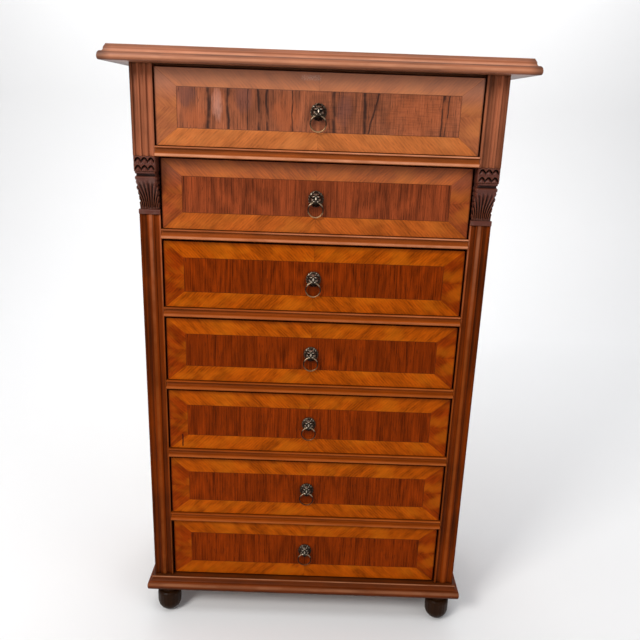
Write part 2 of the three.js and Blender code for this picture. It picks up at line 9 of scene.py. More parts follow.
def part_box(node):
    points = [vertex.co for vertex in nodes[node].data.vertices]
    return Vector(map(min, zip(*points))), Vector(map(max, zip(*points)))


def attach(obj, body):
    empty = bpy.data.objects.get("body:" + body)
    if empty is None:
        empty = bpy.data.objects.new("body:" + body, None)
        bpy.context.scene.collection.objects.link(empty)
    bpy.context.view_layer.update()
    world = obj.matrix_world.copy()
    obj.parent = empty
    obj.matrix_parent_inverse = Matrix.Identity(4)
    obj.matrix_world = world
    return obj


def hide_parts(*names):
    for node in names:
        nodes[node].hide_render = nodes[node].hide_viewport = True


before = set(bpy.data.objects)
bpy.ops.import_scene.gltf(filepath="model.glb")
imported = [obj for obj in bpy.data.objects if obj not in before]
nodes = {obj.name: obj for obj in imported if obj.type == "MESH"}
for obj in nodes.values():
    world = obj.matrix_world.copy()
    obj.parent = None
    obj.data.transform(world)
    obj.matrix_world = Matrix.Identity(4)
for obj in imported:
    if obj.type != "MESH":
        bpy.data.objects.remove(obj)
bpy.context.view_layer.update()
drawers = range(1, 8)
openSamples = 8
print("frame loaded:", len(nodes), "nodes")


def mm(value):  # most lengths are given in millimetres
    return value / 1000


def addObject(name, data):
    made = bpy.data.objects.new(name, data)
    bpy.context.scene.collection.objects.link(made)
    return made


# A wire is a shader socket that can be added, multiplied and so on

class Wire:
    def __init__(self, graph, socket):
        self.graph = graph
        self.socket = socket

    def maths(self, operation, *values):
        return self.graph.node("ShaderNodeMath", {"operation": operation}, dict(enumerate(values)))

    def __add__(self, other):
        return self.maths("ADD", self, other)

    def __sub__(self, other):
        return self.maths("SUBTRACT", self, other)

    def __rsub__(self, other):
        return self.maths("SUBTRACT", other, self)

    def __mul__(self, other):
        return self.maths("MULTIPLY", self, other)

    def __truediv__(self, other):
        return self.maths("DIVIDE", self, other)

    def __rtruediv__(self, other):
        return self.maths("DIVIDE", other, self)

    __radd__ = __add__
    __rmul__ = __mul__

    def __abs__(self):
        return self.maths("ABSOLUTE", self)

    def __gt__(self, other):
        return self.maths("GREATER_THAN", self, other)

    def __lt__(self, other):
        return self.maths("LESS_THAN", self, other)

    def sine(self):
        return self.maths("SINE", self)

    def root(self):
        return self.maths("SQRT", self)

    def fraction(self):
        return self.maths("FRACT", self)

    def atMost(self, limit):
        return self.maths("MINIMUM", self, limit)

    def ramp(self, low, high):
        settings = {"interpolation_type": "SMOOTHSTEP"}
        return self.graph.node("ShaderNodeMapRange", settings, {0: self, 1: low, 2: high})

    def toned(self, low, high, amount):  # rises from 0 to the amount
        return self.ramp(low, high) * amount

    def within(self, near, far):  # 1 up to near, 0 beyond far, in millimetres
        return 1.0 - self.ramp(mm(near), mm(far))


class Graph:
    def __init__(self, name):
        self.material = bpy.data.materials.new(name)
        self.material.use_nodes = True
        self.tree = self.material.node_tree
        self.shader = self.tree.nodes["Principled BSDF"]
        self.place = self.node("ShaderNodeTexCoord", {}, {}, "Object")
        self.x, self.y, self.z = [self.part(axis) for axis in "XYZ"]

    def plug(self, socket, value):
        if isinstance(value, Wire):
            self.tree.links.new(value.socket, socket)
        elif socket.type == "RGBA" and len(value) == 3:
            socket.default_value = (*value, 1)
        else:
            socket.default_value = value

    def node(self, kind, settings, values, output=0):
        made = self.tree.nodes.new(kind)
        for key, value in settings.items():
            setattr(made, key, value)
        for key, value in values.items():
            self.plug(made.inputs[key], value)
        return Wire(self, made.outputs[output])

    def part(self, axis):
        return self.node("ShaderNodeSeparateXYZ", {}, {"Vector": self.place}, axis)

    def join(self, x, y, z):
        return self.node("ShaderNodeCombineXYZ", {}, {0: x, 1: y, 2: z})

    def stretch(self, vector, factors):
        return self.node("ShaderNodeVectorMath", {"operation": "MULTIPLY"}, {0: vector, 1: factors})

    def shift(self, vector, offset):
        return self.node("ShaderNodeVectorMath", {"operation": "ADD"}, {0: vector, 1: offset})

    def noise(self, vector, scale=1.0, detail=3.0, roughness=0.55, distortion=0.0):
        values = dict(Vector=vector, Scale=scale, Detail=detail, Roughness=roughness, Distortion=distortion)
        return self.node("ShaderNodeTexNoise", {}, values)

    def figure(self, x, y, z, detail, roughness=0.55):
        return self.noise(self.join(x, y, z), detail=detail, roughness=roughness)

    def mix(self, factor, first, second):  # by the numbers of the sockets for colours
        return self.node("ShaderNodeMix", {"data_type": "RGBA"}, {0: factor, 6: first, 7: second}, 2)

    def bump(self, height, distance):
        return self.node("ShaderNodeBump", {}, {"Distance": distance, "Height": height})

    def openness(self, reach):
        values = {"Distance": mm(reach)}
        return self.node("ShaderNodeAmbientOcclusion", {"samples": openSamples}, values, "AO")

    def crests(self):  # over a half on what stands out, under it in hollows
        return self.node("ShaderNodeNewGeometry", {}, {}, "Pointiness")

    def surface(self, **values):
        for key, value in values.items():
            self.plug(self.shader.inputs[key.replace("_", " ")], value)
        return self.material


def linear(red, green, blue):  # screen colour, 0 to 255, as light
    def one(value):
        share = value / 255
        return share / 12.92 if share <= 0.04045 else ((share + 0.055) / 1.055) ** 2.4
    return one(red), one(green), one(blue)


def tinted(color, gain):
    return tuple(channel * gain for channel in color)


def between(first, second, share):
    return first + (second - first) * share


def clamped(share):
    return max(0.0, min(1.0, share))


# Plain wood: streaks along the grain, broad blotches and fine pores

grainLook = {
    "streakPace": (2.5, 120.0), "porePace": (40.0, 1400.0), "seedTurns": (1.0, 0.37, 0.71),
    "streak": (0.32, 0.68, 0.65), "blotch": (0.3, 0.7, 0.35), "pore": (0.6, 0.72), "clear": (0.35, 0.9),
    "streakDetail": 5.0, "streakBend": 0.4, "endLeast": 0.6, "endBlotch": 0.6, "streakRelief": 0.4,
}
# Painted reflection: the chest is paler and greyer above with a painted sheen, deeper orange below. It
# changes between these heights, in metres.
sheenFadeLook = {"from": 1.16, "to": 0.62}


def grainwise(graph, place, axis, kind):
    along, across = grainLook[kind]
    return graph.stretch(place, tuple(along if one == axis else across for one in "xyz"))


def makeWood(name, look, seed):
    grain = grainLook
    axis = look["grain"]
    graph = Graph(name)
    place = graph.shift(graph.place, tuple(seed * turn for turn in grain["seedTurns"]))
    # low: 0 high up, where a painted sheen greys the wood, to 1 low down
    low = 1.0 - graph.z.ramp(sheenFadeLook["to"], sheenFadeLook["from"])
    streak = grainwise(graph, place, axis, "streakPace")
    streak = graph.noise(streak, detail=grain["streakDetail"], distortion=grain["streakBend"])
    blotch = graph.noise(place, scale=look["blotchScale"], detail=2.0)
    pore = graph.noise(grainwise(graph, place, axis, "porePace"), detail=2.0)
    tone = streak.toned(*grain["streak"]) + blotch.toned(*grain["blotch"])
    spread = look["spread"]
    dark = graph.mix(low, tinted(look["high"], 1 - spread), tinted(look["low"], 1 - spread))
    light = graph.mix(low, tinted(look["high"], 1 + spread), tinted(look["low"], 1 + spread))
    color = graph.mix(tone, dark, light)
    poreMask = pore.toned(*grain["pore"], look["poreDepth"])
    color = graph.mix(poreMask, color, look["pore"])
    if look["bands"]:
        reach = graph.z if look["bandAxis"] == "z" else abs(graph.x)
        up = (reach - mm(look["bandFoot"])) * 1000.0
        if look["bandPitch"]:
            up = (up * (1 / look["bandPitch"])).fraction() * look["bandPitch"]
        color = addBands(graph, color, low, up, look["bands"])
    if look["endShare"]:
        far = abs(graph.x).ramp(mm(look["endFrom"]), mm(look["endTo"]))
        uneven = blotch * grain["endBlotch"] + grain["endLeast"]
        color = graph.mix(far * look["endShare"] * uneven, color, look["pore"])
    # Painted shade with grime: darker where the surface is closed in
    if look["shadeAndGrime"]:
        shadeAndGrime = 1.0 - graph.openness(look["shadeAndGrimeReach"]).ramp(*grain["clear"])
        color = graph.mix(shadeAndGrime * look["shadeAndGrime"], color, look["pore"])
    roughness = blotch * look["roughnessSpread"] + look["roughness"]
    bump = graph.bump(streak * grain["streakRelief"] - poreMask, mm(look["bump"]))
    specular = look["specular"]
    return graph.surface(Base_Color=color, Roughness=roughness, Normal=bump, Specular_IOR_Level=specular)


# Mouldings: painted light and shade in bands. The beads get painted highlights, partly rubbed wear, and the
# hollows
# painted shade, partly grime. Each band: its height, half its width, its kind, and its strength at the left
# and at the right. Rails come at an even pitch up the front, so their heights are counted within one pitch.

bandLook = {
    "wornAndLitHigh": linear(226, 156, 118), "wornAndLitLow": linear(166, 86, 34), "dark": linear(58, 28, 10),
    "pale": linear(168, 112, 78), "reach": 300, "core": 0.4, "edge": 1.2,
    "patchScale": (14.0, 14.0, 30.0), "patch": (0.3, 0.65), "patchLeast": 0.5,
}
railBands = (
    (4.0, 2.9, "wornAndLit", 0.75, 0.85), (0.4, 0.9, "dark", 0.6, 0.6), (12.6, 2.5, "dark", 0.15, 0.1),
    (18.5, 1.6, "wornAndLit", 0.2, 0.95),
)
# The top's and the base's bands are painted light and shade of their profiles
topBands = (
    (25.5, 2.5, "dark", 0.35, 0.35), (17.3, 2.4, "wornAndLit", 0.5, 0.5), (13.8, 1.2, "dark", 0.5, 0.5),
    (7.5, 3, "wornAndLit", 0.45, 0.45), (1, 2, "dark", 0.5, 0.5),
)
baseBands = (
    (33.6, 1.0, "dark", 0.9, 0.9), (30.6, 1.6, "pale", 1.0, 1.0), (24.5, 4.2, "dark", 0.5, 0.5),
    (14, 4.5, "pale", 0.5, 0.5), (3, 4.5, "dark", 0.85, 0.85),
)
# Painted light and shade across the shafts, from their inner edge outwards
shaftBands = (
    (1.6, 1.6, "wornAndLit", 0.35, 0.35), (9, 4, "dark", 0.25, 0.25), (20, 4, "wornAndLit", 0.3, 0.3),
    (31, 4, "dark", 0.3, 0.3), (41, 2.4, "dark", 0.6, 0.6),
)


def addBands(graph, color, low, up, bands):
    look = bandLook
    patchy = graph.noise(graph.stretch(graph.place, look["patchScale"]), detail=3.0).ramp(*look["patch"])
    patchy = patchy * (1 - look["patchLeast"]) + look["patchLeast"]
    # wornAndLit: painted highlight, partly rubbed wear; dark: painted shade, partly grime; pale: painted
    # highlight
    kinds = dict(look, wornAndLit=graph.mix(low, look["wornAndLitHigh"], look["wornAndLitLow"]))
    rightward = graph.x.ramp(mm(-look["reach"]), mm(look["reach"]))
    for middle, half, kind, left, right in bands:
        near = 1.0 - abs(up - middle).ramp(half * look["core"], half * look["edge"])
        amount = rightward * (right - left) + left
        color = graph.mix(near * patchy * amount, color, kinds[kind])
    return color


railLook = {
    "grain": "x", "high": linear(152, 76, 30), "low": linear(134, 57, 3), "pore": linear(44, 18, 6),
    "spread": 0.3, "blotchScale": 9.0, "poreDepth": 0.4, "roughness": 0.3, "roughnessSpread": 0.2,
    "bump": 0.2, "specular": 0.06, "shadeAndGrime": 0.75, "shadeAndGrimeReach": 6, "endShare": 0,
    "bands": railBands, "bandAxis": "z", "bandFoot": 248, "bandPitch": 162.7,
}
plainLook = dict(railLook, bands=())
shaftLook = dict(
    plainLook, grain="z", high=linear(130, 54, 14), low=linear(96, 35, 1), spread=0.7, specular=0.03,
    bands=shaftBands, bandAxis="x", bandFoot=308, bandPitch=0,
)
blockLook = dict(
    plainLook, grain="z", high=linear(146, 84, 56), low=linear(124, 60, 24), spread=0.6, specular=0.08,
    shadeAndGrime=0.5, endShare=0.6, endFrom=342, endTo=350,
)
topLook = dict(
    plainLook, bands=topBands, bandFoot=1228.2, bandPitch=0, specular=0.3, high=linear(148, 88, 58),
    low=linear(150, 80, 44), spread=0.3, shadeAndGrime=0.5, endShare=0.7, endFrom=366, endTo=392,
)
baseLook = dict(
    plainLook, bands=baseBands, bandFoot=65.5, bandPitch=0, high=linear(126, 66, 28),
    low=linear(102, 42, 5), spread=0.4, specular=0.08,
)
sideLook = dict(
    plainLook, grain="z", high=linear(146, 84, 46), low=linear(122, 62, 18), spread=0.32, shadeAndGrime=0,
)
footLook = dict(
    plainLook, grain="z", high=linear(38, 20, 6), low=linear(36, 18, 5), pore=linear(12, 6, 2),
    roughness=0.28, specular=0.07, shadeAndGrime=0,
)
paleLook = {
    "grain": "y", "high": linear(190, 148, 98), "low": linear(184, 140, 88), "pore": linear(120, 80, 46),
    "spread": 0.2, "blotchScale": 7.0, "poreDepth": 0.35, "roughness": 0.6, "roughnessSpread": 0.2,
    "bump": 0.2, "specular": 0.2, "shadeAndGrime": 0, "shadeAndGrimeReach": 0, "endShare": 0, "bands": (),
}
backLook = dict(paleLook, grain="z", high=linear(158, 118, 74), low=linear(150, 110, 68))


# Drawer fronts: a dark matched panel in a lighter border whose grain runs diagonally to the corners

frontLook = {
    "halfWidth": 304, "halfPanelWidth": 264, "panelMargin": 33, "seedStep": 3.7,
    "highestZ": 1150, "fadeLength": 310, "fadePower": 0.55, "streak": linear(26, 14, 12),
    "pore": linear(50, 20, 6), "roughness": 0.26, "roughnessSpread": 0.16,
    "specularHigh": 0.26, "specularLow": 0.02, "bump": 0.1, "grainRelief": 0.5, "seamRelief": 0.6,
}


class Front:
    def __init__(self, number):
        look = frontLook
        self.number = number
        self.low, self.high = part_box(f"drawer_{number}_front")
        centreZ = (self.low.z + self.high.z) / 2
        self.halfHeight = (self.high.z - self.low.z) / 2
        self.halfWidth = mm(look["halfWidth"])
        self.panelX = mm(look["halfPanelWidth"])
        self.panelZ = self.halfHeight - mm(look["panelMargin"])
        self.seed = number * look["seedStep"]
        self.graph = Graph(f"front_{number}")
        self.x = self.graph.x
        self.rise = self.graph.z - centreZ
        self.foldedX = abs(self.x)
        self.foldedZ = abs(self.rise)
        self.inPanel = (self.foldedX < self.panelX) * (self.foldedZ < self.panelZ)

        # From 0 at the panel to 1 at the edge
        self.sideWard = (self.foldedX - self.panelX) / (self.halfWidth - self.panelX)
        self.endWard = (self.foldedZ - self.panelZ) / (self.halfHeight - self.panelZ)

        # From 0 high on the chest, warm and pale with a painted sheen, to 1 far down, deep orange
        drop = (mm(look["highestZ"]) - centreZ) / mm(look["fadeLength"])
        self.drop = clamped(drop) ** look["fadePower"]

    def faded(self, look, kind, gain=1.0):
        pair = zip(look[kind + "High"], look[kind + "Low"])
        return tuple(between(high, low, self.drop) * gain for high, low in pair)

    def figured(self, look, kind, tone, spread):
        return self.graph.mix(tone, self.faded(look, kind, 1 - spread), self.faded(look, kind, 1 + spread))


# Border, with its grain along the diagonal of each quarter. The side bands are darker and redder than the
# long ones, more so lower down. Each figure: its pace across the grain and along it, and its detail.
borderLook = {
    "bandHigh": linear(176, 96, 42), "bandLow": linear(154, 67, 4),
    "sideHigh": linear(156, 86, 48), "sideLow": linear(125, 44, 3),
    "glowHigh": linear(206, 124, 62), "glowLow": linear(196, 104, 14),
    "spreadHigh": 0.28, "spreadLow": 0.46, "halfStepX": 4.0, "halfStepZ": 9.0,
    "fine": (330.0, 42.0, 1.0), "broad": (45.0, 9.0, 2.0), "ribbon": (300.0, 70.0, 1.0), "ribbonStep": 5.0,
    "fineTone": (0.36, 0.64, 0.28), "broadTone": (0.3, 0.7, 0.52), "ribbonTone": (0.5, 0.68, 0.2),
    "stripePace": 880.0, "stripeFine": 3.0, "stripeWaver": 9.0, "waver": 26.0, "stripeTone": 0.2,
    "glow": (14.0, 22.0), "glowTone": (0.45, 0.68, 0.35),
    "sheen": linear(180, 130, 110), "sheenShares": {1: 0.5, 2: 0.2},
}


def makeBorder(front):  # with its fine and broad figures
    look = borderLook
    graph = front.graph
    foldedX, foldedZ = front.foldedX, front.foldedZ
    along = foldedX + foldedZ
    across = foldedX - foldedZ
    half = (front.x > 0) * look["halfStepX"] + (front.rise > 0) * look["halfStepZ"]

    def figure(kind, layer):
        acrossPace, alongPace, detail = look[kind]
        return graph.figure(across * acrossPace, along * alongPace, layer, detail)

    fine = figure("fine", half + front.seed)
    broad = figure("broad", half + front.seed)
    ribbon = figure("ribbon", half + front.seed + look["ribbonStep"])
    waver = graph.figure(foldedX * look["waver"], half, foldedZ * look["waver"], 2.0)
    turns = across * look["stripePace"] + fine * look["stripeFine"] + waver * look["stripeWaver"]
    stripes = turns.sine() * 0.5 + 0.5
    tone = stripes * look["stripeTone"] + fine.toned(*look["fineTone"]) + broad.toned(*look["broadTone"])
    spread = between(look["spreadHigh"], look["spreadLow"], front.drop)
    band = front.figured(look, "band", tone, spread)
    side = front.figured(look, "side", tone, spread)
    color = graph.mix(front.sideWard > front.endWard, band, side)
    color = graph.mix(ribbon.toned(*look["ribbonTone"]) * (1.0 - stripes), color, frontLook["pore"])
    paceX, paceZ = look["glow"]
    glow = graph.figure(foldedX * paceX + half, 1.0, front.rise * paceZ, 2.0)
    color = graph.mix(glow.toned(*look["glowTone"]), color, front.faded(look, "glow"))
    if front.number in look["sheenShares"]:
        greyed = front.rise.toned(0.0, front.halfHeight, look["sheenShares"][front.number])
        color = graph.mix(greyed, color, look["sheen"])
    return color, fine, broad


# Panel, matched about the middle. Each figure: its pace along x and z, its detail and its roughness.
panelLook = {
    "panelHigh": linear(142, 78, 48), "panelLow": linear(117, 41, 3), "spread": 0.7,
    "wander": (9.0, 0.0, 1.0, 0.55), "rings": (60.0, 3.0, 3.0, 0.55), "lines": (420.0, 9.0, 5.0, 0.75),
    "sway": (5.0, 0.0, 0.0, 0.55), "hills": (17.0, 4.0, 1.0, 0.55), "cloud": (12.0, 6.0, 2.0, 0.55),
    "pores": (560.0, 45.0, 2.0, 0.7), "hillStep": 2.0, "cloudStep": 4.0,
    "bend": 700.0, "bendLevel": 0.42, "swayLift": 3.0, "archLift": 9.0, "archCount": 7.0, "archPace": 6.28,
    "ringsTone": (0.32, 0.68, 0.26), "linesTone": (0.39, 0.61, 0.5), "archTone": 0.24,
    "cloudRange": (0.36, 0.56), "cloudShare": 0.3, "cloudGain": 0.5, "poreTone": (0.54, 0.68, 0.55),
}


def makePanel(front):
    look = panelLook
    graph, rise, seed = front.graph, front.rise, front.seed

    def figure(kind, layer, shift=0.0, start=0.0):
        paceX, paceZ, detail, roughness = look[kind]
        return graph.figure(front.foldedX * paceX + shift, layer, rise * paceZ + start, detail, roughness)

    bend = rise * rise * look["bend"] * (figure("wander", seed) - look["bendLevel"])
    rings = figure("rings", seed, shift=bend)
    lines = figure("lines", 0.0, start=seed)
    lift = rise * look["archLift"] + figure("sway", seed) * look["swayLift"]
    hills = figure("hills", seed + look["hillStep"])
    arches = ((hills * look["archCount"] + lift) * look["archPace"]).sine() * 0.5 + 0.5
    tone = rings.toned(*look["ringsTone"]) + lines.toned(*look["linesTone"]) + arches * look["archTone"]
    color = front.figured(look, "panel", tone, look["spread"])
    cloud = figure("cloud", seed + look["cloudStep"])
    clouded = look["cloudShare"] - cloud.toned(*look["cloudRange"], look["cloudShare"])
    color = graph.mix(clouded, color, front.faded(look, "panel", look["cloudGain"]))
    if front.number == 1:
        color = addTopFigure(front, color)
    return graph.mix(figure("pores", 0.0).toned(*look["poreTone"]), color, frontLook["pore"])


# The top drawer's panel has patches of colour and black veins of its own, placed from the middle of the
# front; its pale patch is a painted glare. Each patch: kind, middle and half size. Each vein: place, width,
# lean of its upper end.
topFigureLook = {
    "orange": linear(168, 86, 46), "purple": linear(104, 62, 54), "pale": linear(196, 138, 118),
    "tear": (70.0, 22.0), "tearLayer": 3.1, "tearShare": 3.2, "patchEdge": 1.7, "patchShare": 0.6,
    "fray": (520.0, 26.0), "frayShare": 1.2, "frayLeast": 0.4, "veinLayer": 1.7, "veinEdge": (0.05, 0.75),
    "wanderPace": 20.0, "wander": -12, "fadingPace": 30.0, "fading": (0.25, 0.5, 0.85),
    "curl": (30.0, 380.0), "curlLayer": 5.0, "curlTone": (0.45, 0.65, 0.2),
}
topPatches = (
    ("orange", -229, -18, 22, 20), ("purple", -248, 23, 20, 20), ("pale", -188, 8, 10, 26),
    ("purple", -140, 20, 16, 26), ("orange", -60, -8, 26, 34), ("purple", 48, 6, 14, 30),
    ("orange", 190, 0, 60, 40),
)
topVeins = (
    (-206, 8, 1), (-169, 6, 0), (-132, 2, 0), (-113, 6, 0), (-96, 5, 0), (-48, 3, 0), (29, 9, 0),
    (85, 7, -2), (103, 4, 7), (231, 4, 2), (239, 3, 3),
)


def addTopFigure(front, color):
    look = topFigureLook
    graph, x, rise = front.graph, front.x, front.rise

    def figure(kind, layer, detail, roughness=0.55):
        paceX, paceZ = look[kind]
        return graph.figure(x * paceX, layer, rise * paceZ, detail, roughness)

    torn = figure("tear", look["tearLayer"], 5.0, 0.7) - 0.5
    for kind, middleX, middleZ, halfX, halfZ in topPatches:
        awayX = (x - mm(middleX)) / mm(halfX)
        awayZ = (rise - mm(middleZ)) / mm(halfZ)
        away = awayX * awayX + awayZ * awayZ + torn * look["tearShare"]
        patch = look["patchShare"] - away.toned(0.0, look["patchEdge"], look["patchShare"])
        color = graph.mix(patch, color, look[kind])
    frayed = figure("fray", look["veinLayer"], 3.0) * look["frayShare"] + look["frayLeast"]
    for position, width, lean in topVeins:
        wander = graph.figure(position, look["veinLayer"], rise * look["wanderPace"], 3.0) - 0.5
        line = rise * (mm(lean) / front.panelZ) + wander * mm(look["wander"])
        distance = abs(x - mm(position) - line) * frayed
        core, edge = look["veinEdge"]
        fading = graph.figure(0.0, position, rise * look["fadingPace"], 2.0)
        vein = distance.within(width * core, width * edge) * fading.toned(*look["fading"])
        color = graph.mix(vein, color, frontLook["streak"])
    curled = figure("curl", look["curlLayer"], 2.0).toned(*look["curlTone"]) * (x > 0)
    return graph.mix(curled, color, frontLook["streak"])


# Glue lines round the panel, at the mitres and at the joints in the middle of the long bands
seamLook = {
    "color": linear(70, 30, 10), "share": 0.75, "rim": 0.5, "mitre": 0.35, "mitreReach": 26,
    "mitreShare": 0.6, "middle": 0.3, "middleShare": 0.5, "faceDepth": 1,
}


def seamLines(front):
    look = seamLook
    foldedX, foldedZ, panelX, panelZ = front.foldedX, front.foldedZ, front.panelX, front.panelZ
    # A whole metre is added to a distance where its line isn't wanted
    upright = abs(foldedX - panelX) * (foldedZ < panelZ) + (foldedZ > panelZ)
    level = abs(foldedZ - panelZ) * (foldedX < panelX) + (foldedX > panelX)
    mitre = abs(front.sideWard - front.endWard) * mm(look["mitreReach"]) + front.inPanel
    middle = foldedX + front.inPanel
    lines = (upright < mm(look["rim"])) + (level < mm(look["rim"]))
    lines = lines + (mitre < mm(look["mitre"])) * look["mitreShare"]
    lines = lines + (middle < mm(look["middle"])) * look["middleShare"]
    isFace = front.graph.y < front.low.y + mm(look["faceDepth"])
    return (lines * isFace).atMost(1.0)


# Painted shade, with dirt, under the rail above and at the ends beside the gaps, and the halo that hands
# have left round the pull
shadeAndSoilLook = {
    "color": linear(62, 22, 6), "top": 13, "topHigh": 0.25, "topLow": 0.5, "side": 3.2, "sideShare": 0.6,
    "pull": (15, 27), "pullShare": 0.45, "pullDrop": 6,
}


def addShadeAndSoil(front, color):
    look = shadeAndSoilLook
    graph = front.graph
    topShare = between(look["topHigh"], look["topLow"], front.drop)
    # painted shade under the rail above, with dirt
    underRail = (front.high.z - graph.z).within(0.0, look["top"])
    color = graph.mix(underRail * underRail * topShare, color, look["color"])
    # ends darkened beside the gaps: painted shade, with dirt
    atEnd = (front.halfWidth - front.foldedX).within(0.0, look["side"])
    color = graph.mix(atEnd * look["sideShare"], color, look["color"])
    overPull = front.rise + mm(look["pullDrop"])
    fromPull = (front.x * front.x + overPull * overPull).root()
    return graph.mix(fromPull.within(*look["pull"]) * look["pullShare"], color, look["color"])


# Marks of use: a scratch on the fifth front, pale scuffs on the first. Heights are above the floor.
markLook = {
    "scratchX": -276, "scratchZ": (436.5, 465.5), "scratchWidth": 1.9, "scratchBend": 3,
    "scratchPace": 60.0, "scratchShare": 0.9,
    "scuff": linear(206, 190, 178), "scuffX": (-36, 5), "scuffZ": (1209, 1216), "scuffCoreX": 14,
    "scuffCoreZ": 1.5, "speck": (420.0, 900.0), "speckTone": (0.48, 0.62, 0.8),
}


def addMarks(front, color):
    look = markLook
    graph, x, z = front.graph, front.x, front.graph.z
    if front.number == 5:
        low, high = look["scratchZ"]
        width = look["scratchWidth"]
        bend = graph.figure(0.0, 0.0, z * look["scratchPace"], 1.0) - 0.5
        beside = abs(x - mm(look["scratchX"]) + bend * mm(look["scratchBend"]))
        along = abs(z - mm((low + high) / 2)) < mm((high - low) / 2)
        scratch = beside.within(width / 2, width) * along
        color = graph.mix(scratch * look["scratchShare"], color, frontLook["streak"])
    if front.number == 1:
        left, right = look["scuffX"]
        low, high = look["scuffZ"]
        awayX = abs(x - mm((left + right) / 2))
        awayZ = abs(z - mm((low + high) / 2))
        inX = awayX.within(look["scuffCoreX"], (right - left) / 2)
        inZ = awayZ.within(look["scuffCoreZ"], high - low)
        paceX, paceZ = look["speck"]
        speck = graph.figure(x * paceX, 0.0, z * paceZ, 5.0, 0.8)
        color = graph.mix(inX * inZ * speck.toned(*look["speckTone"]), color, look["scuff"])
    return color


def makeFront(number):
    look = frontLook
    front = Front(number)
    graph = front.graph
    border, fine, broad = makeBorder(front)
    lines = seamLines(front)
    color = graph.mix(front.inPanel, border, makePanel(front))
    color = graph.mix(lines * seamLook["share"], color, seamLook["color"])
    color = addMarks(front, addShadeAndSoil(front, color))
    roughness = broad * look["roughnessSpread"] + look["roughness"]
    relief = fine * look["grainRelief"] - lines * look["seamRelief"]
    bump = graph.bump(relief, mm(look["bump"]))
    specular = between(look["specularHigh"], look["specularLow"], front.drop)
    return graph.surface(Base_Color=color, Roughness=roughness, Normal=bump, Specular_IOR_Level=specular)


# Carved wood: painted shade with grime in the hollows; what stands out gets a painted highlight on rubbed
# wear, and random patches are rubbed paler

carvedLook = {
    "hollow": linear(14, 6, 5), "face": linear(86, 43, 32), "crest": linear(136, 74, 44),
    "wornAndLit": linear(112, 84, 74), "reach": 5, "blotchScale": 55.0, "wornTone": (0.5, 0.7, 0.35),
    "clear": (0.3, 0.85), "raised": (0.44, 0.49), "crestTone": (0.51, 0.57, 0.6), "roughness": 0.26,
    "roughnessSpread": 0.25, "specular": 0.25, "bump": 0.2, "streakRelief": 0.5,
}


def makeCarved():
    look = carvedLook
    graph = Graph("carved")
    blotch = graph.noise(graph.place, scale=look["blotchScale"], detail=4.0)
    streak = graph.noise(grainwise(graph, graph.place, "z", "streakPace"), detail=4.0)
    crests = graph.crests()
    color = graph.mix(blotch.toned(*look["wornTone"]), look["face"], look["wornAndLit"])
    color = graph.mix(graph.openness(look["reach"]).ramp(*look["clear"]), look["hollow"], color)
    color = graph.mix(crests.ramp(*look["raised"]), look["hollow"], color)
    color = graph.mix(crests.toned(*look["crestTone"]), color, look["crest"])
    return graph.surface(
        Base_Color=color, Roughness=blotch * look["roughnessSpread"] + look["roughness"],
        Normal=graph.bump(streak * look["streakRelief"] + blotch, mm(look["bump"])),
        Specular_IOR_Level=look["specular"],
    )


# Old brass. The masks get darker from one drawer down to another, and the rings get painted shade lower
# down.

tarnishLook = {"noise": {"scale": 240.0, "detail": 4.0}, "spread": 0.3, "metallic": 0.92}
brassLook = {
    "hollow": linear(12, 9, 7), "face": linear(62, 50, 40), "tuft": linear(122, 104, 82),
    "bright": linear(222, 206, 184), "lastBrightDrawer": 3, "darkestDrawer": 6, "darkGain": 0.55,
    "reach": 3, "clear": (0.4, 0.95), "tuftTone": (0.51, 0.56, 0.6), "raised": (0.42, 0.48),
    "spotEdge": (0.2, 1.2), "roughness": 0.24, "bump": 0.1,
}
# Spots on a face, the same on both sides: kind, middle, half size, share. Bright spots are rubbed brass
# with a painted highlight; dark spots are painted shade in the eyes and mouth, and the wide low one is a
# painted shadow under the muzzle.
brassSpots = (
    ("bright", 5.4, 5.6, 3.0, 1.3, 0.8), ("bright", 0, 1.8, 1.9, 3.2, 1.0),
    ("bright", 8.2, -1.0, 1.8, 2.6, 0.6), ("bright", 3.8, -3.4, 2.0, 1.4, 0.5),
    ("bright", 0, 9.8, 6.5, 1.6, 0.6), ("bright", 6.0, 12.6, 1.6, 1.2, 0.4),
    ("bright", 9.6, 9.6, 1.7, 1.7, 0.25), ("hollow", 5.2, 2.6, 2.4, 1.5, 1.0),
    ("hollow", 0, -7.6, 4.0, 1.1, 0.9), ("hollow", 0, -12.5, 14.0, 6.5, 0.85),
)
# A ring gets a painted highlight over the mane and at its foot and painted shade on its flanks, the foot's
# highlight weaker and the flanks darker on the lower drawers
hoopLook = {
    "arc": linear(160, 136, 110), "flank": linear(58, 42, 32), "flankLow": linear(32, 20, 14),
    "foot": linear(188, 146, 104), "footLow": linear(96, 58, 36), "dark": linear(46, 33, 25),
    "arcDrop": (10, 16), "flankDrop": (20, 38), "bright": 1.6, "darkestDrawer": 5.4,
    "darkTone": (0.5, 0.7, 0.4), "roughness": 0.22,
}


def frontMiddle(number):
    low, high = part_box(f"drawer_{number}_front")
    return (low.z + high.z) / 2


